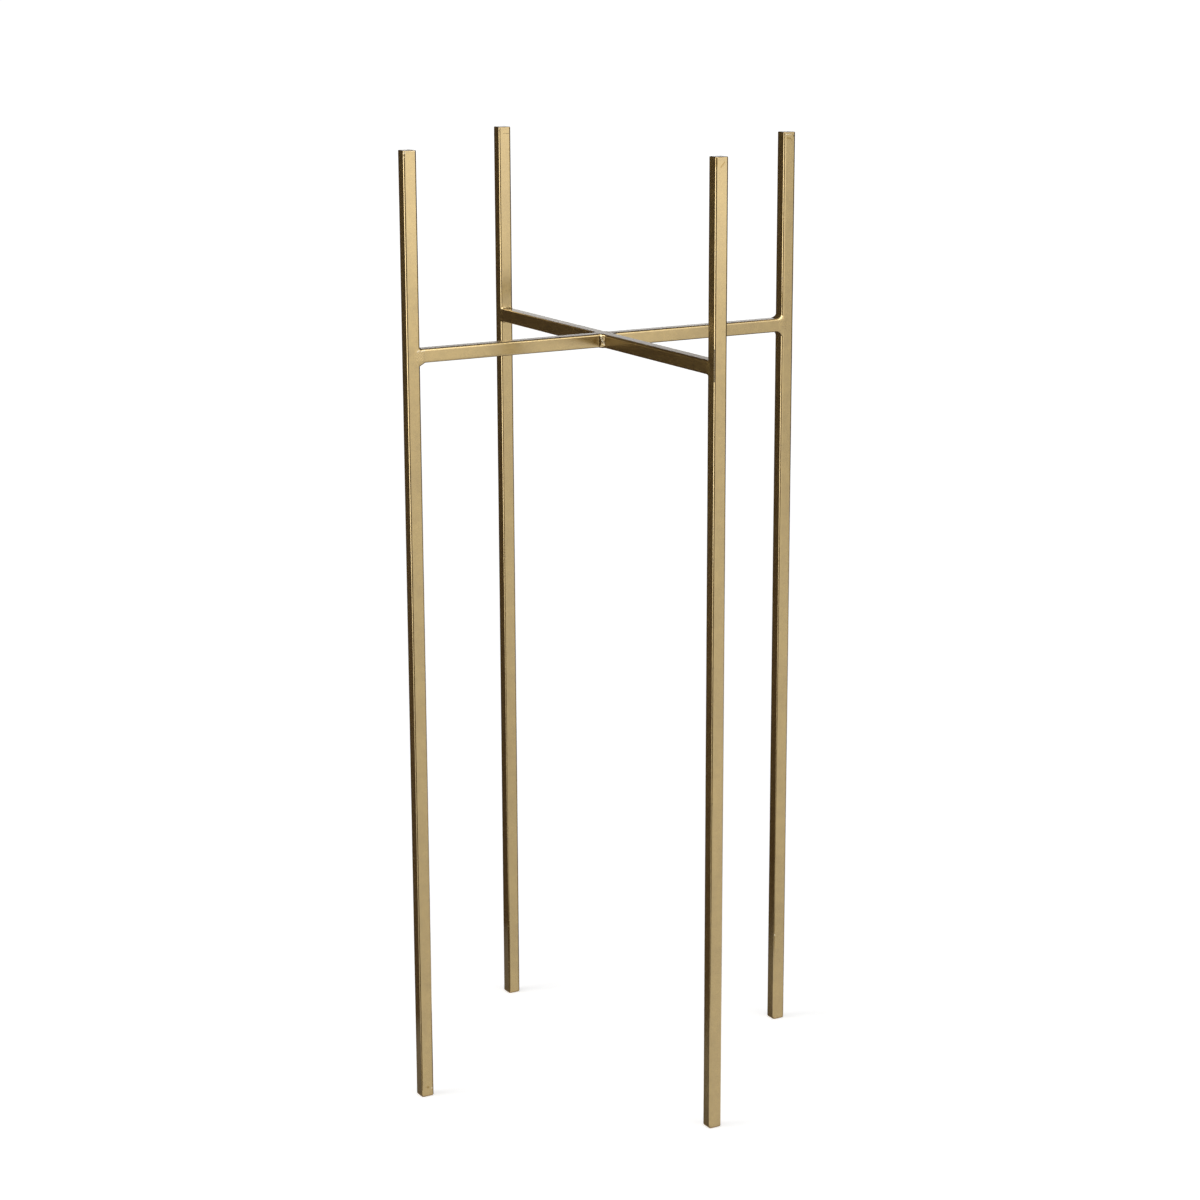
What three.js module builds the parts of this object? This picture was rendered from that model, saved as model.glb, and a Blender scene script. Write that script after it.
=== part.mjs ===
// Single plant stand: four square-tube posts joined by a welded cross that carries the pot.
//
// Millimetres, +Z up. The origin is on the floor, midway between the posts.
// +X points to the right-hand post and +Y to the back one.
// The long crossbar runs from the front post to the back post, and a short crossbar
// on each side of it reaches the left and the right post.

import * as THREE from 'three';

// Square tube, the same stock for the posts and the crossbars.
const TUBE_WIDTH = 10;
const TUBE_WALL = 1;
const TUBE_CORNER_RADIUS = 1.5;
const TUBE_BORE_CORNER_RADIUS = 0.5;

// Overall sizes.
const STAND_HEIGHT = 700;
const POT_SPAN = 302; // between the inner faces of two opposite posts
const CROSS_TOP_HEIGHT = 562; // from the floor up to the faces that the pot stands on

// Equal stretches along a crossbar. The pot's middle bears on the middle stretch of the
// long one, whose faces end well clear of the welds at the posts.
const CROSSBAR_STRETCHES = 3;

// Plates welded over both ends of each post, ground round along their outer edges.
const END_PLATE_THICKNESS = 3;
const TOP_PLATE_EDGE_RADIUS = 0.5;
const FOOT_PLATE_EDGE_RADIUS = 1;

// Fillet welds. A leg runs from the corner that the weld fills to the toe of the weld.
const UPPER_WELD_LEG = 2.4; // on top of a crossbar, against its post
const LOWER_WELD_LEG = 3.2; // under a crossbar, against its post
const CENTRE_WELD_LEG = 3; // between two crossbars, where they cross
const WELD_HOLLOW = 0.3; // how far the face is drawn in: 0.5 is a flat face, 0 the deepest hollow

// Facets to a quarter turn.
const TUBE_CORNER_STEPS = 5;
const PLATE_EDGE_STEPS = 4;
const WELD_STEPS = 6;

const QUARTER_TURN = Math.PI / 2;

// Gold paint over steel. The weld metal under the paint is rougher than the tube.
const TUBE_FINISH = { color: 0xb79d66, metalness: 0.8, roughness: 0.38 };
const PLATE_FINISH = { color: 0xb2975f, metalness: 0.8, roughness: 0.42 };
const WELD_FINISH = { color: 0xa98e57, metalness: 0.75, roughness: 0.5 };

// Places that follow from the sizes above.
const CROSS_UNDERSIDE_HEIGHT = CROSS_TOP_HEIGHT - TUBE_WIDTH;
const POST_FACE = POT_SPAN / 2; // from the centre to a post's inner face
const POST_CENTRE = POST_FACE + TUBE_WIDTH / 2;
const POST_TUBE_LENGTH = STAND_HEIGHT - 2 * END_PLATE_THICKNESS;

// Corner points of a square with rounded corners, centred on the origin, anticlockwise.
function roundedSquare(width, cornerRadius) {
  const cornerCentre = width / 2 - cornerRadius;
  const points = [];
  for (let corner = 0; corner < 4; corner += 1) {
    const middle = (corner + 0.5) * QUARTER_TURN;
    const centreX = cornerCentre * Math.sign(Math.cos(middle));
    const centreY = cornerCentre * Math.sign(Math.sin(middle));
    for (let step = 0; step <= TUBE_CORNER_STEPS; step += 1) {
      const angle = (corner + step / TUBE_CORNER_STEPS) * QUARTER_TURN;
      const x = centreX + cornerRadius * Math.cos(angle);
      const y = centreY + cornerRadius * Math.sin(angle);
      points.push(new THREE.Vector2(x, y));
    }
  }
  return points;
}

// Straight length of tube along +Z from z = 0, open at both ends. Its faces are divided
// into equal stretches.
function tubeGeometry(length, stretches = 1) {
  const section = new THREE.Shape(roundedSquare(TUBE_WIDTH, TUBE_CORNER_RADIUS));
  const bore = roundedSquare(TUBE_WIDTH - 2 * TUBE_WALL, TUBE_BORE_CORNER_RADIUS);
  section.holes.push(new THREE.Path(bore));
  const extrusion = { depth: length, steps: stretches, bevelEnabled: false };
  return new THREE.ExtrudeGeometry(section, extrusion);
}

// Closed body through stacked copies of one outline, each with its own scale and height.
function stackedGeometry(outline, rings) {
  const positions = [];
  for (const { scale, height } of rings) {
    for (const point of outline) {
      positions.push(point.x * scale, point.y * scale, height);
    }
  }
  const count = outline.length;
  const indices = [];
  for (let ring = 0; ring < rings.length - 1; ring += 1) {
    for (let i = 0; i < count; i += 1) {
      const here = ring * count + i;
      const next = ring * count + ((i + 1) % count);
      indices.push(here, next, next + count);
      indices.push(here, next + count, here + count);
    }
  }
  const lastRing = (rings.length - 1) * count;
  for (let i = 1; i < count - 1; i += 1) {
    indices.push(0, i + 1, i);
    indices.push(lastRing, lastRing + i, lastRing + i + 1);
  }
  const geometry = new THREE.BufferGeometry();
  geometry.setAttribute('position', new THREE.Float32BufferAttribute(positions, 3));
  geometry.setIndex(indices);
  return geometry;
}

// End plate lying on z = 0, with the edge around its outer face at z = thickness rounded.
function endPlateGeometry(edgeRadius) {
  const rings = [{ scale: 1, height: 0 }];
  for (let step = 0; step <= PLATE_EDGE_STEPS; step += 1) {
    const angle = (step / PLATE_EDGE_STEPS) * QUARTER_TURN;
    const inset = edgeRadius * (1 - Math.cos(angle));
    const height = END_PLATE_THICKNESS - edgeRadius * (1 - Math.sin(angle));
    rings.push({ scale: 1 - (2 * inset) / TUBE_WIDTH, height });
  }
  return stackedGeometry(roundedSquare(TUBE_WIDTH, TUBE_CORNER_RADIUS), rings);
}

// Hollow-faced fillet that fills the corner at the origin, as long as the tube is wide.
// Its legs lie along X and Y and may point either way. It runs along +Z.
function filletGeometry(legX, legY) {
  const corner = new THREE.Vector2(0, 0);
  const toeX = new THREE.Vector2(legX, 0);
  const toeY = new THREE.Vector2(0, legY);
  const pull = new THREE.Vector2(legX * WELD_HOLLOW, legY * WELD_HOLLOW);
  const face = new THREE.QuadraticBezierCurve(toeX, pull, toeY).getPoints(WELD_STEPS);
  const profile = new THREE.Shape([corner, ...face]);
  return new THREE.ExtrudeGeometry(profile, { depth: TUBE_WIDTH, bevelEnabled: false });
}

function namedMesh(name, geometry, finish) {
  const mesh = new THREE.Mesh(geometry, new THREE.MeshStandardMaterial(finish));
  mesh.name = name;
  return mesh;
}

// Post with its two end plates, standing on +X of its arm.
function post(side) {
  const group = new THREE.Group();
  group.position.x = POST_CENTRE;

  const tube = namedMesh(`post_${side}`, tubeGeometry(POST_TUBE_LENGTH), TUBE_FINISH);
  tube.position.z = END_PLATE_THICKNESS;

  const topGeometry = endPlateGeometry(TOP_PLATE_EDGE_RADIUS);
  const topPlate = namedMesh(`top_plate_${side}`, topGeometry, PLATE_FINISH);
  topPlate.position.z = STAND_HEIGHT - END_PLATE_THICKNESS;

  const footGeometry = endPlateGeometry(FOOT_PLATE_EDGE_RADIUS);
  const footPlate = namedMesh(`foot_plate_${side}`, footGeometry, PLATE_FINISH);
  footPlate.position.z = END_PLATE_THICKNESS;
  footPlate.rotation.x = Math.PI;

  group.add(tube, topPlate, footPlate);
  return group;
}

// Welds above and below the end of a crossbar, against the inner face of its post.
function postWelds(side) {
  const upperGeometry = filletGeometry(-UPPER_WELD_LEG, UPPER_WELD_LEG);
  const upper = namedMesh(`upper_weld_${side}`, upperGeometry, WELD_FINISH);
  upper.position.set(POST_FACE, TUBE_WIDTH / 2, CROSS_TOP_HEIGHT);
  upper.rotation.x = QUARTER_TURN;

  const lowerGeometry = filletGeometry(-LOWER_WELD_LEG, -LOWER_WELD_LEG);
  const lower = namedMesh(`lower_weld_${side}`, lowerGeometry, WELD_FINISH);
  lower.position.set(POST_FACE, TUBE_WIDTH / 2, CROSS_UNDERSIDE_HEIGHT);
  lower.rotation.x = QUARTER_TURN;

  return [upper, lower];
}

// Upright weld in the corner between this arm's crossbar and the next arm's.
function centreWeld(corner) {
  const geometry = filletGeometry(CENTRE_WELD_LEG, CENTRE_WELD_LEG);
  const weld = namedMesh(`centre_weld_${corner}`, geometry, WELD_FINISH);
  weld.position.set(TUBE_WIDTH / 2, TUBE_WIDTH / 2, CROSS_UNDERSIDE_HEIGHT);
  return weld;
}

// Short crossbar along +X, from the side of the long crossbar to the post.
function shortCrossbar(side) {
  const geometry = tubeGeometry(POST_FACE - TUBE_WIDTH / 2, CROSSBAR_STRETCHES);
  const bar = namedMesh(`crossbar_${side}`, geometry, TUBE_FINISH);
  bar.position.set(TUBE_WIDTH / 2, 0, CROSS_TOP_HEIGHT - TUBE_WIDTH / 2);
  bar.rotation.y = QUARTER_TURN;
  return bar;
}

// Long crossbar along +Y, from the front post to the back post.
function longCrossbar() {
  const geometry = tubeGeometry(POT_SPAN, CROSSBAR_STRETCHES);
  const bar = namedMesh('crossbar_long', geometry, TUBE_FINISH);
  bar.position.set(0, -POST_FACE, CROSS_TOP_HEIGHT - TUBE_WIDTH / 2);
  bar.rotation.x = -QUARTER_TURN;
  return bar;
}

// The arms in order around the stand, each a quarter turn on from the one before.
const ARMS = [
  { side: 'right', corner: 'back_right', hasShortCrossbar: true },
  { side: 'back', corner: 'back_left', hasShortCrossbar: false },
  { side: 'left', corner: 'front_left', hasShortCrossbar: true },
  { side: 'front', corner: 'front_right', hasShortCrossbar: false },
];

function plantStand() {
  const stand = new THREE.Group();
  stand.add(longCrossbar());
  ARMS.forEach(({ side, corner, hasShortCrossbar }, index) => {
    const arm = new THREE.Group();
    arm.rotation.z = index * QUARTER_TURN;
    arm.add(post(side), ...postWelds(side), centreWeld(corner));
    if (hasShortCrossbar) {
      arm.add(shortCrossbar(side));
    }
    stand.add(arm);
  });
  return stand;
}

export default plantStand();
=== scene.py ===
# Single plant stand in satin gold paint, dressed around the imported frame. Metres, +Z up.

import math

import bpy
from mathutils import Matrix, Vector, noise


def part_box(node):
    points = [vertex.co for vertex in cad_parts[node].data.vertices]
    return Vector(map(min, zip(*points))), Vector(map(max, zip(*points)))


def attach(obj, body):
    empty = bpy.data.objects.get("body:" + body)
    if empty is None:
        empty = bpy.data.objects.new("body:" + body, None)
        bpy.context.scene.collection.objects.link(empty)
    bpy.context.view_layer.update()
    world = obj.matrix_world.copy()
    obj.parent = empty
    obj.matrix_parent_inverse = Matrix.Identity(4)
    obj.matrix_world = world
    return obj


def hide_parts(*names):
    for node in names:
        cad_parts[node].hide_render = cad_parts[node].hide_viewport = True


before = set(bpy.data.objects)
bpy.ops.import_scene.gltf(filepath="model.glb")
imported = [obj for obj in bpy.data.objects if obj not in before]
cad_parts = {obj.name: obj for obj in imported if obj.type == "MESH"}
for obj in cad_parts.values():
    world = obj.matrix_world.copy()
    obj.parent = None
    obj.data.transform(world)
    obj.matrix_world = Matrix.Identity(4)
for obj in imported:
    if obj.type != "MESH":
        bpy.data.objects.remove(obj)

MM = 0.001
UP = Vector((0, 0, 1))
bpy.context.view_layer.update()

# ---------------------------------------------------------------- sizes read from the frame

post_low, post_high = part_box("post_right")
bar_low, bar_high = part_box("crossbar_long")
foot_low, foot_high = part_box("foot_plate_right")

TUBE_WIDTH = post_high.x - post_low.x
POST_FACE = post_low.x  # a post's inner face, from the middle of the stand
POST_CENTRE = POST_FACE + TUBE_WIDTH / 2
CROSS_CENTRE_HEIGHT = (bar_low.z + bar_high.z) / 2
STAND_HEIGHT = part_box("top_plate_right")[1].z
PLATE_THICKNESS = foot_high.z - foot_low.z

# The posts in order round the stand, each a quarter turn on from the one before.
SIDES = ("right", "back", "left", "front")

# ---------------------------------------------------------------- sizes of the fine shape

TUBE_WALL = 1.0 * MM
TUBE_CORNER = 1.5 * MM
BORE_CORNER = 0.5 * MM
TOP_EDGE = 0.5 * MM
FOOT_EDGE = 1.0 * MM

WAVE_HEIGHT = 0.03 * MM  # how far the drawn tube's faces wander
WAVE_LENGTH = 45 * MM
PEEL_HEIGHT = 0.006 * MM  # unevenness of the paint
PEEL_LENGTH = 5 * MM
SEAM_DEPTH = 0.07 * MM  # scar where an end plate was welded on and ground
SEAM_HALF_WIDTH = 0.7 * MM
SEAM_PATCH = 4.3 * MM  # how long its stretches are
DENT_DEPTH = 0.05 * MM  # hollows ground into a plate's sides
DENT_LENGTH = 2.2 * MM
LUMP_LENGTH = 1.7 * MM  # on a weld
FILE_PITCH = 2.0 * MM
ROOT_DEPTH = 0.55 * MM  # how far a weld's hidden side lies inside what the bar meets
ROOT_INSET = 0.8 * MM  # and inside the bar's faces

POST_STEP = 9 * MM  # between the rings of points along a post
BAR_STEP = 6 * MM
POST_END = 6 * MM  # stretch at a post's ends with finer rings
POST_END_STEP = 0.5 * MM
WELD_STEPS = 16  # across a weld
SHARP_ANGLE = math.radians(38)  # creases from here up stay sharp

# ---------------------------------------------------------------- sizes in the paint

EDGE_REACH = 1.2 * MM  # how far onto a flat an edge's wear reaches
WELD_EDGE = 0.35  # a weld's share of an edge
MOTTLE = 7 * MM  # soft clouds
DRIFT = 60 * MM  # slow change along a tube
FLECK = 0.45 * MM  # metal flakes
SAND = 1.1 * MM
RIPPLE = 1.6 * MM
RUB = 5 * MM  # worn stretches of an edge
CHIP = 2.2 * MM
RAGGED = 1.2 * MM  # lumps in the outline of a mark
RAGGED_REACH = 0.7 * MM
BUMP_HEIGHT = 0.008 * MM
PLAIN_STEEL = (0.16, 0.13, 0.11, 1.0)
# Colour of the weld pits, and of the painted shade laid in creases and over stretches of corner
# highlight.
PIT_AND_SHADE_COLOUR = (0.03, 0.021, 0.013, 1.0)
# Painted highlight: pale cream painted where rounded edges, fillets and the centre bead catch the lamps.
PAINTED_HIGHLIGHT_COLOUR = (0.93, 0.8, 0.55, 1.0)
BROWN_STRENGTH = 0.55

# ---------------------------------------------------------------- the studio, in metres

STUDIO_HALF = 30
FLOOR_GLOW = 0.5  # the floor's own white near the stand
FLOOR_GLOW_REACH = 0.5  # how far out it stays the same
FLOOR_RIM_GLOW = 0.66  # its own white far out, where the lamps hardly reach
FLOOR_RIM = 3.5  # how far out that starts
WORLD_LIGHT = 0.5  # how much the white world lights matt surfaces
SOFTBOX_AIM = 0.45  # height on the stand's axis that the lamps face
CLOTH_STEPS = 12


def outward(side):
    """Level direction from the middle of the stand to the post on that side."""
    turn = Matrix.Rotation(SIDES.index(side) * math.pi / 2, 3, "Z")
    return turn @ Vector((1, 0, 0))


# ---------------------------------------------------------------- mesh helpers


def outline(width, corner, corner_steps=8, flat_cuts=(0.04, 0.2, 0.5, 0.8, 0.96)):
    """Square with rounded corners, anticlockwise, as (point, outward normal, share). The share says how
    much of an edge the point is on, from 0 on a flat to 1 in the middle of a corner."""
    reach = width / 2 - corner
    flat = width - 2 * corner
    points = []
    for quarter in range(4):
        middle = (quarter + 0.5) * math.pi / 2
        centre = Vector((math.copysign(reach, math.cos(middle)), math.copysign(reach, math.sin(middle))))
        for step in range(corner_steps + 1):
            share = step / corner_steps
            angle = (quarter + share) * math.pi / 2
            normal = Vector((math.cos(angle), math.sin(angle)))
            points.append((centre + normal * corner, normal, 0.6 + 0.4 * math.sin(share * math.pi)))
        end, normal = points[-1][0], points[-1][1]
        along = Vector((-normal.y, normal.x))
        for cut in flat_cuts:
            nearest = min(cut, 1 - cut) * flat
            edge = 0.6 * max(0.0, 1 - nearest / EDGE_REACH)
            points.append((end + along * cut * flat, normal, edge))
    return points


def closed_mesh(name, rings, edges, round_trip, material):
    """Object whose mesh runs through rings of equally many points. With round_trip the last ring
    joins the first; otherwise the first and the last are capped."""
    count = len(rings[0])
    vertices = [point for ring in rings for point in ring]
    faces = []
    for ring in range(len(rings) if round_trip else len(rings) - 1):
        here, there = ring * count, (ring + 1) % len(rings) * count
        for i in range(count):
            j = (i + 1) % count
            faces.append((here + i, here + j, there + j, there + i))
    if not round_trip:
        last = (len(rings) - 1) * count
        faces.append(tuple(reversed(range(count))))
        faces.append(tuple(range(last, last + count)))
    mesh = bpy.data.meshes.new(name)
    mesh.from_pydata(vertices, [], faces)
    mesh.update()
    layer = mesh.attributes.new("edge", "FLOAT", "POINT")
    layer.data.foreach_set("value", [edge for ring in edges for edge in ring])
    mesh.polygons.foreach_set("use_smooth", [True] * len(mesh.polygons))
    mesh.set_sharp_from_angle(angle=SHARP_ANGLE)
    mesh.materials.append(material)
    piece = bpy.data.objects.new(name, mesh)
    bpy.context.scene.collection.objects.link(piece)
    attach(piece, "root")
    return piece


def unevenness(point):
    """How far the painted steel lies behind its true face at a point, as a number below zero."""
    wave = WAVE_HEIGHT * (noise.noise(point / WAVE_LENGTH) - 1)
    return wave + PEEL_HEIGHT * (noise.noise(point / PEEL_LENGTH) - 1)


def seam_scar(point, height_from_seam):
    """Depth of the ground seam between a tube and its end plate, which comes and goes round the tube."""
    near = max(0.0, 1 - abs(height_from_seam) / SEAM_HALF_WIDTH)
    patchy = min(1.0, max(0.0, noise.noise(point / SEAM_PATCH) * 4 - 1))
    return SEAM_DEPTH * near * near * patchy


# ---------------------------------------------------------------- tubes


def stations(length, coarse, fine_spans):
    """Distances along a tube: coarse ones, and fine ones inside the spans (start, end, step)."""
    marks = {round(i * length / round(length / coarse), 7) for i in range(round(length / coarse) + 1)}
    for start, end, step in fine_spans:
        marks = {m for m in marks if not start < m < end}
        steps = max(1, round((end - start) / step))
        marks |= {round(start + i * (end - start) / steps, 7) for i in range(steps + 1)}
    return [min(mark, length) for mark in sorted(marks)]


def tube(name, to_world, length, marks, material, scarred=()):
    """Square tube from the origin of to_world along its Z, with its bore. scarred holds the distances
    of welded and ground seams."""
    outer = outline(TUBE_WIDTH, TUBE_CORNER)
    inner = outline(TUBE_WIDTH - 2 * TUBE_WALL, BORE_CORNER)
    rings, edges = [], []
    for mark in marks:
        ring = []
        for point, normal, edge in outer:
            at = to_world @ Vector((point.x, point.y, mark))
            out = (to_world.to_3x3() @ Vector((normal.x, normal.y, 0))).normalized()
            depth = sum(seam_scar(at, mark - seam) for seam in scarred)
            ring.append(at + out * (unevenness(at) - depth))
        rings.append(ring)
        edges.append([edge for _, _, edge in outer])
    for mark in (length, 0.0):
        rings.append([to_world @ Vector((point.x, point.y, mark)) for point, _, _ in inner])
        edges.append([0.0] * len(inner))
    piece = closed_mesh(name, rings, edges, True, material)
    folded_map(piece, len(marks), len(outer), marks)
    return piece


def folded_map(piece, ring_count, point_count, marks):
    """Map for baked textures: a tube's long skin folded into columns that fill a square, with the cut
    ends and the bore in thin strips above them."""
    length, girth = marks[-1], 4 * TUBE_WIDTH
    columns = max(1, round(math.sqrt(length / girth)))
    pitch = 1 / columns
    column_length = length / columns
    layer = piece.data.uv_layers.new(name="OFBake")
    for polygon in piece.data.polygons:
        ring, spot = divmod(polygon.index, point_count)
        if ring < ring_count - 1:
            middle = (marks[ring] + marks[ring + 1]) / 2
            column = min(columns - 1, int(middle / column_length))
        for loop in polygon.loop_indices:
            vertex = piece.data.loops[loop].vertex_index
            vertex_ring, vertex_spot = divmod(vertex, point_count)
            across = vertex_spot if vertex_spot >= spot else vertex_spot + point_count
            across /= point_count
            if ring < ring_count - 1:
                u = (column + 0.02 + 0.9 * across) * pitch
                v = 0.039 + 0.846 * (marks[vertex_ring] / column_length - column)
            else:
                u = 0.02 + 0.96 * across
                v = 0.985 + 0.004 * (ring - ring_count + 1) + (0.003 if vertex_ring != ring else 0)
            layer.data[loop].uv = (u, v)


def post(side, material):
    place = Matrix.Translation(outward(side) * POST_CENTRE + UP * PLATE_THICKNESS)
    length = STAND_HEIGHT - 2 * PLATE_THICKNESS
    ends = [(0, POST_END, POST_END_STEP), (length - POST_END, length, POST_END_STEP)]
    marks = stations(length, POST_STEP, ends)
    piece = tube(f"painted_post_{side}", place, length, marks, material, (0.0, length))
    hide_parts(f"post_{side}")


def crossbar(name, start, direction, length, node, material):
    """Tube from start along a level direction."""
    across = UP.cross(direction)
    place = Matrix.Translation(start) @ Matrix((across, UP, direction)).transposed().to_4x4()
    marks = stations(length, BAR_STEP, [])
    piece = tube(name, place, length, marks, material)
    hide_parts(node)


# ---------------------------------------------------------------- end plates


def plate_levels(edge_radius):
    """Rings of an end plate from its seam to its outer face, as (inset, height, share of an edge)."""
    flat = PLATE_THICKNESS - edge_radius
    heights = [height * MM for height in (0, 0.25, 0.5, 0.8, 1.2, 1.6)]
    levels = [(0.0, height, 0.0) for height in heights if height < flat - 0.1 * MM]
    edge_steps = 6
    for step in range(edge_steps + 1):
        angle = step / edge_steps * math.pi / 2
        inset = edge_radius * (1 - math.cos(angle))
        levels.append((inset, flat + edge_radius * math.sin(angle), 0.5 + 0.5 * math.sin(2 * angle)))
    return levels + [(inset * MM, PLATE_THICKNESS, 0.1) for inset in (1.6, 2.6, 3.8)]


def end_plate(name, side, seam_height, facing, edge_radius, node, material):
    """Plate over the end of a post, ground round along its outer edge. facing is 1 up or -1 down."""
    centre = outward(side) * POST_CENTRE + UP * seam_height
    shape = outline(TUBE_WIDTH, TUBE_CORNER)
    rings, edges = [], []
    for inset, height, edge in plate_levels(edge_radius):
        scale = 1 - 2 * inset / TUBE_WIDTH
        rise = height / PLATE_THICKNESS
        ring = []
        for point, normal, _ in shape:
            at = centre + Vector((point.x * scale, point.y * scale, facing * height))
            out = Vector((normal.x, normal.y, 0))
            dent = DENT_DEPTH * rise * max(0.0, noise.noise(at / DENT_LENGTH))
            depth = seam_scar(at, height) + dent
            ring.append(at + out * (unevenness(at) - depth) if inset < edge_radius else at)
        rings.append(ring)
        edges.append([max(edge, 0.7 * own) if inset <= edge_radius else edge for _, _, own in shape])
    if facing < 0:
        rings = [list(reversed(ring)) for ring in rings]
        edges = [list(reversed(ring_edges)) for ring_edges in edges]
    piece = closed_mesh(name, rings, edges, False, material)
    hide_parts(node)


# ---------------------------------------------------------------- welds


class Fillet:
    """One dressed side of a weld: its legs on the bar and on what the bar meets, and its surface."""

    def __init__(self, on_bar, on_host, hollow, lumps=0.05):
        self.on_bar, self.on_host = on_bar * MM, on_host * MM
        self.hollow = hollow  # 0 is flat, 1 follows the corner
        self.lumps = lumps * MM  # how rough it is


def weld_collar(name, joint, upper, lower, patch, hatch, nodes, material):
    """Weld round the end of a bar. In joint's frame the bar comes along +X and meets a flat face at
    x = 0, fillets lie on its +Z and -Z sides, and its +Y and -Y sides are ground flush. patch is how far
    the flush sides reach onto the bar and onto what it meets, and hatch how high they stand between
    their file marks, all in mm."""
    shape = outline(TUBE_WIDTH, TUBE_CORNER, 10, tuple(i / 24 for i in range(1, 24)))
    flush = Fillet(patch[0], patch[1], 0.0, 0.02)
    rings, edges = [], []
    for point, normal, _ in shape:
        y, z = point
        facing = round(math.copysign(1, normal.y)) if abs(normal.y) > 0.1 else 0
        dressed = upper if facing > 0 else lower if facing < 0 else flush
        beside = 1 if facing == 0 else 0
        past = max(0.0, abs(y) - (TUBE_WIDTH / 2 - TUBE_CORNER))
        host_x = TUBE_CORNER - math.sqrt(max(0.0, TUBE_CORNER ** 2 - past ** 2))
        toe_bar = Vector((-dressed.on_bar, y, z))
        toe_host = Vector((host_x + flush.on_host * beside, y, z + facing * dressed.on_host))
        corner = Vector((host_x * (1 - beside), y, z))
        pull = (toe_bar + toe_host) / 2 * (1 - dressed.hollow) + corner * dressed.hollow
        out = Vector((-0.8 * abs(normal.y), normal.x, normal.y)).normalized()
        ring, ring_edges = [], []
        for step in range(WELD_STEPS + 1):
            t = step / WELD_STEPS
            at = toe_bar * (1 - t) ** 2 + pull * 2 * t * (1 - t) + toe_host * t ** 2
            world = joint @ at
            rise = math.sin(t * math.pi)
            proud = (0.01 + 0.02 * beside) * MM + dressed.lumps * noise.noise(world / LUMP_LENGTH)
            proud += hatch * MM * beside * (1 + file_marks(at))
            ring.append(joint @ (at + out * (proud * rise ** 0.5 + unevenness(world))))
            ring_edges.append(WELD_EDGE)
        root = Vector((ROOT_DEPTH, y - normal.x * ROOT_INSET, z - normal.y * ROOT_INSET))
        ring.append(joint @ root)
        ring_edges.append(0.0)
        rings.append(ring)
        edges.append(ring_edges)
    piece = closed_mesh(name, rings, edges, True, material)
    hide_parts(*nodes)


def file_marks(at):
    """Crossing scratches left by a file over a flush patch, from -1 in them to 0 between them."""
    one = math.sin((at.x + at.z) * 2 * math.pi / FILE_PITCH)
    other = math.sin((at.x - at.z) * 2 * math.pi / FILE_PITCH)
    return -max(0.0, one, other) ** 2


def joint_frame(at, towards, flush):
    """Frame with X from a bar to what it meets, and Y to the sides that are ground flush."""
    third = towards.cross(flush)
    return Matrix.Translation(at) @ Matrix((towards, flush, third)).transposed().to_4x4()


# ---------------------------------------------------------------- materials


class Nodes:
    """Shorthand for making and linking the shader nodes of one material or world."""

    def __init__(self, owner):
        self.owner = owner
        owner.use_nodes = True
        self.tree = owner.node_tree
        self.tree.nodes.clear()

    def add(self, kind, **settings):
        node = self.tree.nodes.new(kind)
        for key, value in settings.items():
            setattr(node, key, value)
        return node

    def link(self, source, target):
        self.tree.links.new(source, target)

    def feed(self, value, socket):
        if isinstance(value, (int, float, tuple)):
            socket.default_value = value
        else:
            self.link(value, socket)

    def maths(self, operation, a, b, clamp=False):
        node = self.add("ShaderNodeMath", operation=operation, use_clamp=clamp)
        self.feed(a, node.inputs[0])
        self.feed(b, node.inputs[1])
        return node.outputs[0]

    def times(self, a, b):
        return self.maths("MULTIPLY", a, b)

    def weigh(self, *terms):
        """Sum of the terms, each a (value, weight)."""
        total = self.times(*terms[0])
        for term in terms[1:]:
            total = self.maths("ADD", total, self.times(*term))
        return total

    def noise(self, coordinates, size, detail=2.0, roughness=0.5):
        """Noise whose features are about size metres across, around 0.5."""
        node = self.add("ShaderNodeTexNoise")
        self.link(coordinates, node.inputs["Vector"])
        node.inputs["Scale"].default_value = 1 / size
        node.inputs["Detail"].default_value = detail
        node.inputs["Roughness"].default_value = roughness
        return node.outputs[0]

    def span(self, value, low, high, out_low=0.0, out_high=1.0):
        """Maps low..high to out_low..out_high, held at the ends."""
        node = self.add("ShaderNodeMapRange", clamp=True)
        self.feed(value, node.inputs["Value"])
        limits = {"From Min": low, "From Max": high, "To Min": out_low, "To Max": out_high}
        for name, number in limits.items():
            node.inputs[name].default_value = number
        return node.outputs[0]

    def blend(self, share, a, b):
        """Colour a where share is 0 and b where it is 1."""
        node = self.add("ShaderNodeMix", data_type="RGBA")
        self.feed(share, node.inputs["Factor"])
        self.feed(a, node.inputs["A"])
        self.feed(b, node.inputs["B"])
        return node.outputs["Result"]

    def wobble(self, place, size, reach):
        """Coordinates pushed about by up to half of reach, in lumps of the given size."""
        lumps = self.add("ShaderNodeTexNoise")
        self.link(place, lumps.inputs["Vector"])
        lumps.inputs["Scale"].default_value = 1 / size
        push = self.add("ShaderNodeVectorMath", operation="MULTIPLY_ADD")
        self.link(lumps.outputs["Color"], push.inputs[0])
        push.inputs[1].default_value = (reach, reach, reach)
        centred = self.add("ShaderNodeVectorMath", operation="SUBTRACT")
        self.link(place, centred.inputs[0])
        centred.inputs[1].default_value = (reach / 2, reach / 2, reach / 2)
        self.link(centred.outputs[0], push.inputs[2])
        return push.outputs[0]

    def near(self, place, spots):
        """1 inside any of the spots, which are (centre in mm, radius in mm), fading to 0 outside."""
        covered = 0.0
        for centre, radius in spots:
            node = self.add("ShaderNodeVectorMath", operation="DISTANCE")
            self.link(place, node.inputs[0])
            node.inputs[1].default_value = [value * MM for value in centre]
            inside = self.span(node.outputs["Value"], 1.2 * radius * MM, 0.4 * radius * MM)
            covered = self.maths("MAXIMUM", inside, covered)
        return covered

    def attribute(self, name):
        return self.add("ShaderNodeAttribute", attribute_name=name).outputs["Fac"]


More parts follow.
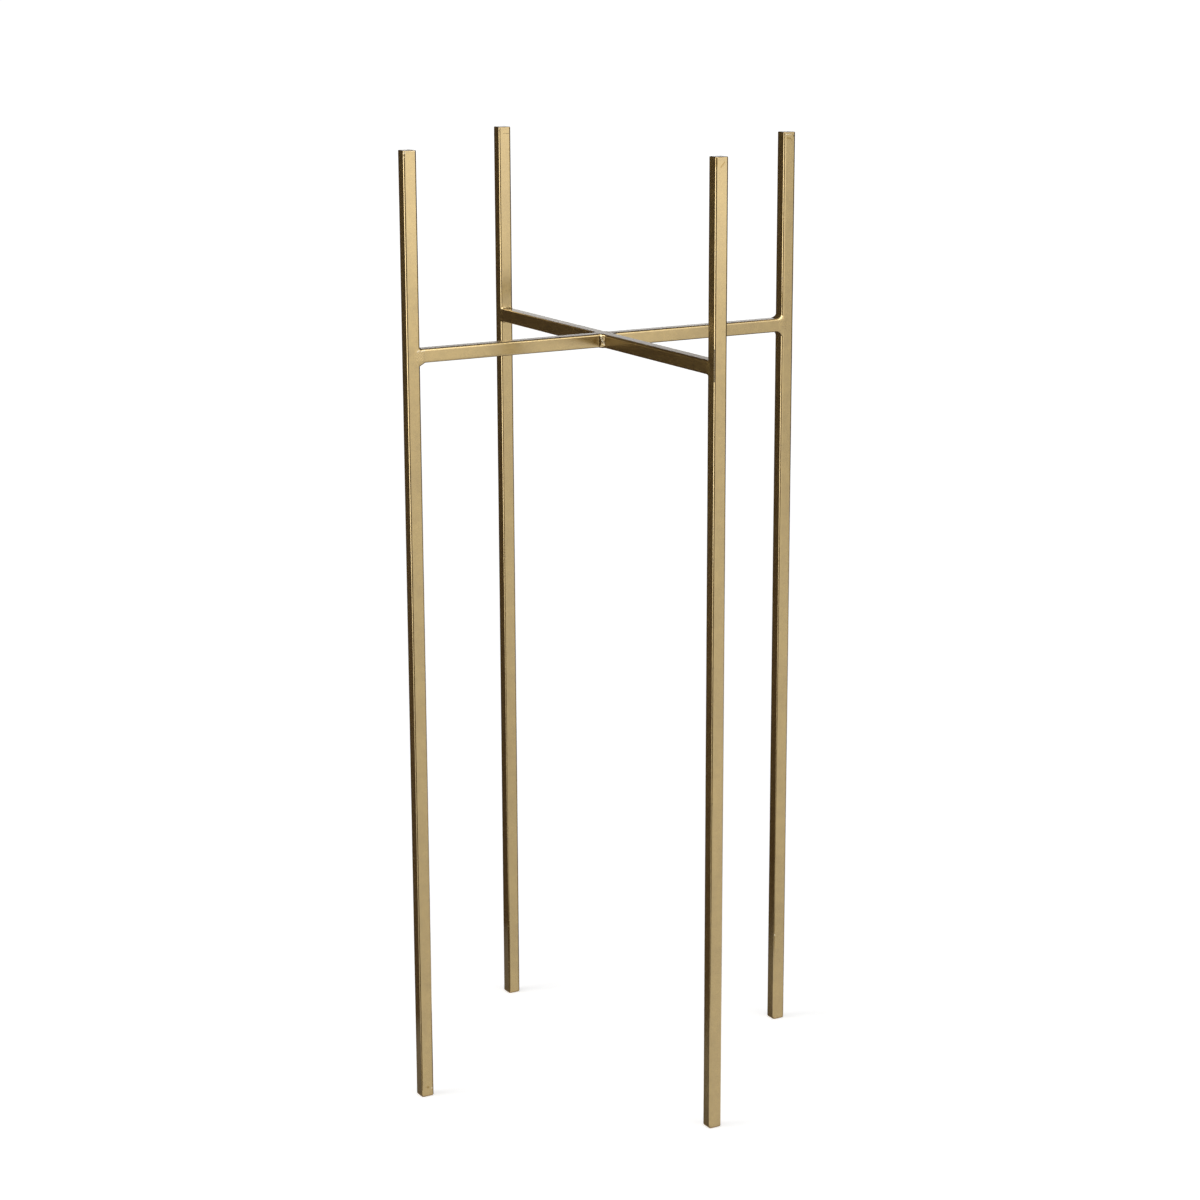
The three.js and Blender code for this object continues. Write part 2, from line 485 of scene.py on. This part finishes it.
def shade(colour, red, green, blue):
    """The colour with its red, green and blue multiplied by these."""
    return (colour[0] * red, colour[1] * green, colour[2] * blue, 1.0)


def gold_paint(name, colour, marks, roughness, grain, wear, worn_from):
    """Satin metallic gold paint over steel: fine grain, soft mottling, rubbed or chipped edges, and
    single marks, which are painted highlights, pits, brown spots and painted shade. wear is how much a
    worn edge has lost, and a lower worn_from wears more of the edges."""
    n = Nodes(bpy.data.materials.new(name))
    place = n.add("ShaderNodeTexCoord").outputs["Object"]
    edge = n.attribute("edge")
    mottle = n.noise(place, MOTTLE, 3.0, 0.55)
    fleck = n.noise(place, FLECK, 2.0, 0.6)
    sand = n.noise(place, SAND, 1.0)
    drift = n.noise(place, DRIFT)
    ripple = n.noise(place, RIPPLE, 1.0)
    worn_stretch = n.span(n.noise(place, RUB, 4.0, 0.6), worn_from, worn_from + 0.22)
    rubbed = n.times(n.span(edge, 0.45, 1.0), worn_stretch)
    chip = n.span(n.noise(place, CHIP, 1.0), 0.70, 0.74)
    chipped = n.times(n.span(edge, 0.5, 0.8), chip)
    ragged = n.wobble(place, RAGGED, RAGGED_REACH)
    # Masks of the single marks: brown spots that are partly painted shade, pits together with painted
    # shade, and painted highlights.
    brown_and_painted_shade = n.times(n.near(ragged, marks["brown_and_painted_shade"]), BROWN_STRENGTH)
    pit_and_painted_shade = n.near(ragged, marks["pit_and_painted_shade"])
    painted_highlight = n.near(ragged, marks["painted_highlight"])

    tone = n.span(n.weigh((mottle, 0.4), (fleck, 0.3), (sand, 0.3), (drift, 0.35)), 0.515, 0.835)
    paint = n.blend(tone, shade(colour, 0.86, 0.84, 0.78), shade(colour, 1.12, 1.12, 1.12))
    paint = n.blend(n.times(rubbed, wear), paint, shade(colour, 0.62, 0.55, 0.5))
    paint = n.blend(n.times(chipped, wear), paint, PLAIN_STEEL)
    paint = n.blend(brown_and_painted_shade, paint, shade(colour, 0.6, 0.52, 0.45))
    paint = n.blend(pit_and_painted_shade, paint, PIT_AND_SHADE_COLOUR)
    paint = n.blend(painted_highlight, paint, PAINTED_HIGHLIGHT_COLOUR)

    surface = n.add("ShaderNodeBsdfPrincipled")
    n.link(paint, surface.inputs["Base Color"])
    # Painted highlights are made almost not metallic, so their pale colour shows as a highlight.
    n.link(n.span(painted_highlight, 0.0, 1.0, 0.92, 0.1), surface.inputs["Metallic"])
    uneven = n.weigh((mottle, 0.08), (fleck, 0.06), (chipped, 0.2))
    n.link(n.maths("ADD", uneven, roughness - 0.07), surface.inputs["Roughness"])
    # The coat thins under the pits, brown spots and painted shade, so they show no highlight.
    dull = n.maths("MAXIMUM", pit_and_painted_shade, brown_and_painted_shade)
    n.link(n.span(dull, 0.0, BROWN_STRENGTH, 1.0, 0.25), surface.inputs["Coat Weight"])
    surface.inputs["Coat Roughness"].default_value = 0.16
    surface.inputs["Coat IOR"].default_value = 1.8

    bump = n.add("ShaderNodeBump")
    bump.inputs["Strength"].default_value = 1.0
    bump.inputs["Distance"].default_value = BUMP_HEIGHT
    n.link(n.weigh((fleck, grain), (ripple, 0.5), (chipped, -1.2)), bump.inputs["Height"])
    n.link(bump.outputs[0], surface.inputs["Normal"])

    output = n.add("ShaderNodeOutputMaterial")
    n.link(surface.outputs[0], output.inputs["Surface"])
    return n.owner


def seen_directly(n):
    """1 for rays that show the background: straight from the camera, by gloss or through glass."""
    path = n.add("ShaderNodeLightPath")
    seen = n.maths("ADD", path.outputs["Is Camera Ray"], path.outputs["Is Glossy Ray"], True)
    return n.maths("ADD", seen, path.outputs["Is Transmission Ray"], True)


def floor_material():
    """Pale matt floor. Part of its white is its own light, which only rays that show the background see,
    so it keeps the stand's shadow."""
    n = Nodes(bpy.data.materials.new("pale_floor"))
    matt = n.add("ShaderNodeBsdfDiffuse")
    matt.inputs["Color"].default_value = (0.8, 0.8, 0.8, 1)
    white = n.add("ShaderNodeEmission")
    place = n.add("ShaderNodeTexCoord").outputs["Object"]
    away = n.add("ShaderNodeVectorMath", operation="LENGTH")
    n.link(place, away.inputs[0])
    glow = n.span(away.outputs["Value"], FLOOR_GLOW_REACH, FLOOR_RIM, FLOOR_GLOW, FLOOR_RIM_GLOW)
    n.link(n.times(seen_directly(n), glow), white.inputs["Strength"])
    both = n.add("ShaderNodeAddShader")
    n.link(matt.outputs[0], both.inputs[0])
    n.link(white.outputs[0], both.inputs[1])
    output = n.add("ShaderNodeOutputMaterial")
    n.link(both.outputs[0], output.inputs["Surface"])
    return n.owner


def bright_material(name, radiance):
    """White sheet that shines evenly."""
    n = Nodes(bpy.data.materials.new(name))
    glow = n.add("ShaderNodeEmission")
    glow.inputs["Strength"].default_value = radiance
    output = n.add("ShaderNodeOutputMaterial")
    n.link(glow.outputs[0], output.inputs["Surface"])
    return n.owner


def card_material(name, colour):
    """Matt cloth or card."""
    n = Nodes(bpy.data.materials.new(name))
    matt = n.add("ShaderNodeBsdfDiffuse")
    matt.inputs["Color"].default_value = colour
    output = n.add("ShaderNodeOutputMaterial")
    n.link(matt.outputs[0], output.inputs["Surface"])
    return n.owner


# ---------------------------------------------------------------- marks in the paint


def stroke(start, end, radius, count=5):
    """Spots in a row that make one long mark. Millimetres."""
    start, end = Vector(start), Vector(end)
    return [(tuple(start.lerp(end, i / (count - 1))), radius) for i in range(count)]


# Marks where the ends were dressed, and on the posts' near corners: painted highlights on the rounded top
# edges, dark and brown spots, and painted shade that takes the highlight off stretches of the front
# post's near corner.
# (place, radius) in millimetres.
END_MARKS = {
    "painted_highlight": [((-160.6, -4.7, 695.2), 0.5), ((-160.3, -4.8, 698.6), 0.7), ((-152.8, -5, 6.3), 0.5),
             ((-4.8, 151.2, 698.6), 0.5), ((151.4, -4.6, 71.5), 0.6)]
            + stroke((-155, -5, 699.5), (-152, -5, 699.6), 0.25)
            + stroke((152.4, -5, 698.3), (156.8, -5, 698.3), 0.4),
    "pit_and_painted_shade": [((-160.8, -4.6, 696.8), 0.6), ((-4.5, 151, 699.8), 0.6), ((159.4, -5, 697.2), 0.6),
             ((-4.6, -160.7, 247.8), 0.6), ((-160.9, 4.6, 699.4), 0.9)]
            + stroke((-1.4, 151, 695.2), (2.8, 151, 695.0), 0.35),
    "brown_and_painted_shade": [((157.8, -5, 694.2), 0.7), ((-156.1, -5, 7.4), 1.1)]
             + stroke((1.4, -161, 696.3), (-1.3, -161, 693.2), 0.6)
             + stroke((153.3, -5, 696), (156.4, -5, 695.2), 0.6)
             + stroke((-4.6, -160.6, 694.5), (-4.6, -160.6, 699), 1.0)
             + stroke((-4.7, -160.7, 251), (-4.7, -160.7, 273), 0.6, 12),
}

# Marks at the welds: painted highlights on fillet edges and the centre bead, pits, brown spots, and
# painted shade in creases, in the corners at the centre and over the front post's near corner.
# Millimetres.
WELD_MARKS = {
    "painted_highlight": [((-2.4, 151, 563.6), 0.3), ((1.5, 151, 561.8), 0.35), ((-5.2, -5.8, 552.9), 0.5),
             ((151.1, -5, 549.3), 0.5)]
            + stroke((-153.4, -5, 560.3), (-152.1, -5, 561), 0.4, 3)
            + stroke((-150.4, -5, 560.3), (-147.6, -4.9, 560.7), 0.32)
            + stroke((-6.4, -6.4, 560.4), (-6.0, -7.8, 558.2), 0.75, 4)
            + stroke((-5.9, -8.0, 557.8), (-5.5, -9.4, 555.0), 0.6, 4),
    "pit_and_painted_shade": [((4.5, 151, 560.5), 0.8), ((-5, -151, 553.0), 0.7), ((-5.2, -7.4, 560.6), 0.55),
             ((-5.2, -5.6, 554), 0.5), ((5, -5, 561), 0.6), ((-150.6, -4.4, 562), 0.8)]
            + stroke((-6.9, -5, 560.8), (-6.7, -5, 554.4), 0.35, 9)
            + stroke((-4.85, -160.2, 549), (-4.85, -160.2, 570), 0.8, 18),
    "brown_and_painted_shade": [((3.6, 151, 562.8), 0.8), ((-5, -147.2, 553), 0.8), ((-5, -10.6, 558), 1.6),
              ((-10.4, -5, 557), 1.8)],
}
ALL_MARKS = {kind: END_MARKS[kind] + WELD_MARKS[kind] for kind in END_MARKS}


def foot_edge_shade(side):
    """Spots along the two near edges of a foot: painted shade along its rounded bottom edges.
    Millimetres.
    """
    foot = outward(side) * POST_CENTRE / MM
    near = foot + Vector((-4.6, -4.6, 0.4))
    front = stroke(foot + Vector((4.6, -4.9, 0.4)), near, 0.9, 6)
    return front + stroke(near, foot + Vector((-4.9, 4.6, 0.4)), 0.9, 6)


# The plates also carry the painted shade along the feet's near bottom edges.
PLATE_MARKS = dict(END_MARKS)
PLATE_MARKS["brown_and_painted_shade"] = sum((foot_edge_shade(side) for side in SIDES), END_MARKS["brown_and_painted_shade"])

# ---------------------------------------------------------------- the stand

TUBE_PAINT = gold_paint("gold_paint_tube", (0.35, 0.242, 0.074), ALL_MARKS,
                        roughness=0.22, grain=0.3, wear=0.35, worn_from=0.54)
# The plates wear over more of their edges than the tubes; on the feet this darkening also paints the
# shade along their bottom edges.
PLATE_PAINT = gold_paint("gold_paint_plate", (0.348, 0.24, 0.073), PLATE_MARKS,
                         roughness=0.24, grain=0.4, wear=0.8, worn_from=0.3)
WELD_PAINT = gold_paint("gold_paint_weld", (0.345, 0.238, 0.072), WELD_MARKS,
                        roughness=0.27, grain=0.8, wear=0.5, worn_from=0.5)

for side in SIDES:
    post(side, TUBE_PAINT)
    end_plate(f"ground_top_{side}", side, STAND_HEIGHT - PLATE_THICKNESS, 1, TOP_EDGE,
              f"top_plate_{side}", PLATE_PAINT)
    end_plate(f"ground_foot_{side}", side, PLATE_THICKNESS, -1, FOOT_EDGE,
              f"foot_plate_{side}", PLATE_PAINT)

level = UP * CROSS_CENTRE_HEIGHT
crossbar("painted_crossbar_long", level - outward("back") * POST_FACE, outward("back"), 2 * POST_FACE,
         "crossbar_long", TUBE_PAINT)
for side in ("left", "right"):
    crossbar(f"painted_crossbar_{side}", level + outward(side) * TUBE_WIDTH / 2, outward(side),
             POST_FACE - TUBE_WIDTH / 2, f"crossbar_{side}", TUBE_PAINT)

# Each post's weld: fillets above and below, then the flush patch's reach onto the bar and the post,
# and how high it stands between its file marks. Millimetres.
POST_WELDS = {
    "left": (Fillet(1.5, 1.5, 0.5), Fillet(4.1, 2.4, 0.05, 0.03), (3.4, 2.4), 0.12),
    "right": (Fillet(4.4, 2.6, 0.55, 0.02), Fillet(4.0, 3.6, 0.7, 0.12), (2.6, 2.4), 0.0),
    "front": (Fillet(0.9, 0.9, 0.4, 0.1), Fillet(1.3, 1.1, 0.3, 0.2), (1.6, 1.6), 0.0),
    "back": (Fillet(1.1, 1.1, 0.4, 0.15), Fillet(0.9, 0.9, 0.4, 0.1), (1.6, 1.6), 0.0),
}
for side, (above, below, patch, hatch) in POST_WELDS.items():
    towards = outward(side)
    frame_here = joint_frame(level + towards * POST_FACE, towards, towards.cross(UP) * -1)
    weld_collar(f"weld_{side}", frame_here, above, below, patch, hatch,
                (f"upper_weld_{side}", f"lower_weld_{side}"), WELD_PAINT)

# Where each short crossbar meets the long one, the fillets stand upright and the tops are flush.
CENTRE_WELDS = {
    "left": (Fillet(1.9, 4.8, -0.3, 0.45), Fillet(2.6, 2.6, 0.4, 0.08)),
    "right": (Fillet(2.4, 2.4, 0.4, 0.08), Fillet(2.6, 2.6, 0.4, 0.1)),
}
for side, (near, far) in CENTRE_WELDS.items():
    towards = -outward(side)
    frame_here = joint_frame(level - towards * TUBE_WIDTH / 2, towards, UP if side == "left" else -UP)
    weld_collar(f"centre_weld_{side}", frame_here, near, far, (1.6, 1.2), 0.0,
                (f"centre_weld_front_{side}", f"centre_weld_back_{side}"), WELD_PAINT)

# ---------------------------------------------------------------- stage and light


def level_direction(bearing):
    """Level direction, from a bearing in degrees that starts at +X and turns towards +Y."""
    return Vector((math.cos(math.radians(bearing)), math.sin(math.radians(bearing)), 0))


def card(name, corners, material, faces=None):
    """Sheet with these corners, part of the studio. It is one flat face unless faces are given."""
    mesh = bpy.data.meshes.new(name)
    mesh.from_pydata(corners, [], faces or [tuple(range(len(corners)))])
    mesh.materials.append(material)
    thing = bpy.data.objects.new(name, mesh)
    bpy.context.scene.collection.objects.link(thing)
    return thing


def cloth(name, bearings, distance, heights, material):
    """Sheet that hangs in an arc round the stand, only for the metal to mirror."""
    start, end = bearings
    turn = (end - start) / CLOTH_STEPS
    along = [level_direction(start + turn * i) * distance for i in range(CLOTH_STEPS + 1)]
    foot = [at + UP * heights[0] for at in along]
    top = [at + UP * heights[1] for at in reversed(along)]
    last = 2 * CLOTH_STEPS + 1
    faces = [(i, i + 1, last - 1 - i, last - i) for i in range(CLOTH_STEPS)]
    only_mirrored(card(name, foot + top, material, faces))


def only_mirrored(thing):
    """Hides it from everything but mirror images."""
    for kind in ("camera", "diffuse", "transmission", "volume_scatter", "shadow"):
        setattr(thing, f"visible_{kind}", False)


def softbox(name, bearing, distance, height, width, tall, radiance):
    """Rectangular lamp that faces the stand, of one radiance all over."""
    data = bpy.data.lights.new(name, "AREA")
    data.shape, data.size, data.size_y = "RECTANGLE", width, tall
    data.energy = radiance * math.pi * width * tall
    lamp = bpy.data.objects.new(name, data)
    lamp.location = level_direction(bearing) * distance + UP * height
    aim = UP * SOFTBOX_AIM - lamp.location
    lamp.rotation_euler = aim.to_track_quat("-Z", "Y").to_euler()
    lamp.visible_camera = False
    bpy.context.scene.collection.objects.link(lamp)


def studio_world():
    """White all round for what sees it directly, and a weaker light on everything."""
    world = bpy.data.worlds.new("white_studio")
    bpy.context.scene.world = world
    n = Nodes(world)
    background = n.add("ShaderNodeBackground")
    background.inputs["Color"].default_value = (1, 1, 1, 1)
    n.link(n.span(seen_directly(n), 0.0, 1.0, WORLD_LIGHT, 1.0), background.inputs["Strength"])
    n.link(background.outputs[0], n.add("ShaderNodeOutputWorld").inputs["Surface"])


def floor_cloth_behind(name, setback, height, material):
    """Sheet on the floor behind the stand on the left. Its near edge runs from one post's near corner to
    the next, or lies setback behind them, so each post's left face mirrors it and no front face does."""
    half = TUBE_WIDTH / 2 + 0.2 * MM
    near = [outward("left") * (POST_CENTRE + 0.05) + Vector((0, -half, 0))]
    for side in ("left", "front", "back", "right"):
        near += [outward(side) * POST_CENTRE + Vector((across, -half, 0)) for across in (-half, half)]
    far = [level_direction(bearing) * 12 for bearing in (330, 20, 100, 142)]
    edge = [corner + level_direction(119) * setback for corner in near] + far
    only_mirrored(card(name, [corner + UP * height for corner in edge], material))


def floor_cloth_before(name, material):
    """Sheet on the floor before the stand on the left, for the posts' near corners to mirror."""
    foot = outward("left") * (POST_CENTRE + TUBE_WIDTH) - outward("back") * TUBE_WIDTH
    far = [foot + level_direction(bearing) * 7 for bearing in (187, 204, 221, 238)]
    only_mirrored(card(name, [corner + UP * MM for corner in [foot] + far], material))


floor_corners = [Vector((x, y, 0)) for x, y in ((-1, -1), (1, -1), (1, 1), (-1, 1))]
card("floor", [corner * STUDIO_HALF for corner in floor_corners], floor_material())

DARK = card_material("dark_cloth", (0.084, 0.05, 0.034, 1))
DIM = card_material("dim_cloth", (0.26, 0.23, 0.2, 1))
BRIGHT = bright_material("bright_sheet", 5.0)

# Sheets round the stand: bearings, distance, lowest and highest point, material.
CLOTHS = {
    "cloth_left": ((71, 142), 2.6, (0.0, 3.8), DARK),
    "cloth_camera": ((187, 238), 3.2, (0.0, 1.2), DARK),
    "cloth_right": ((312, 378), 2.3, (0.0, 0.9), DARK),
    "cloth_back_right": ((10, 75), 2.5, (0.0, 0.72), DARK),
    "cloth_over_backdrop": ((-30, 74), 3.0, (1.05, 6.5), DARK),
    "bright_card_over": ((150, 300), 2.2, (1.6, 6.0), BRIGHT),
}
for name, (bearings, distance, heights, material) in CLOTHS.items():
    cloth(name, bearings, distance, heights, material)
floor_cloth_behind("floor_cloth_near", 0, 1 * MM, DIM)
floor_cloth_behind("floor_cloth_far", 0.16, 2 * MM, DARK)
floor_cloth_before("floor_cloth_before", DARK)

# Lamps: bearing, distance, height, the panel's width and height, radiance.
LAMPS = {
    "key_light": (283, 1.8, 0.71, 1.38, 0.66, 1.17),
    "low_light": (283, 1.8, 0.22, 1.38, 0.32, 0.24),
    "upper_light": (304, 1.8, 1.5, 1.3, 0.9, 1.5),
    "edge_light": (165, 1.9, 0.7, 1.3, 1.6, 3.2),
}
for name, settings in LAMPS.items():
    softbox(name, *settings)
studio_world()

# ---------------------------------------------------------------- camera

CAMERA_AT = Vector((-1.0374, -1.8230, 0.8659))
CAMERA_YAW = 0.5156  # from +Y towards +X
CAMERA_PITCH = 0.2523  # downwards
CAMERA_ROLL = -0.0032
CAMERA_LENS = 86.94
CAMERA_SHIFT_Y = 0.04


def place_camera():
    """Camera that was fitted to the stand's edges."""
    ahead = Vector((math.sin(CAMERA_YAW) * math.cos(CAMERA_PITCH),
                    math.cos(CAMERA_YAW) * math.cos(CAMERA_PITCH), -math.sin(CAMERA_PITCH)))
    right = Vector((math.cos(CAMERA_YAW), -math.sin(CAMERA_YAW), 0))
    up = right.cross(ahead)
    turned_right = math.cos(CAMERA_ROLL) * right + math.sin(CAMERA_ROLL) * up
    turned_up = -math.sin(CAMERA_ROLL) * right + math.cos(CAMERA_ROLL) * up
    data = bpy.data.cameras.new("camera")
    data.sensor_width = 36
    data.lens = CAMERA_LENS
    data.shift_y = CAMERA_SHIFT_Y
    data.clip_end = 100
    camera = bpy.data.objects.new("camera", data)
    turn = Matrix((turned_right, turned_up, -ahead)).transposed().to_4x4()
    camera.matrix_world = Matrix.Translation(CAMERA_AT) @ turn
    bpy.context.scene.collection.objects.link(camera)
    bpy.context.scene.camera = camera


place_camera()
bpy.context.scene.view_settings.view_transform = "Standard"
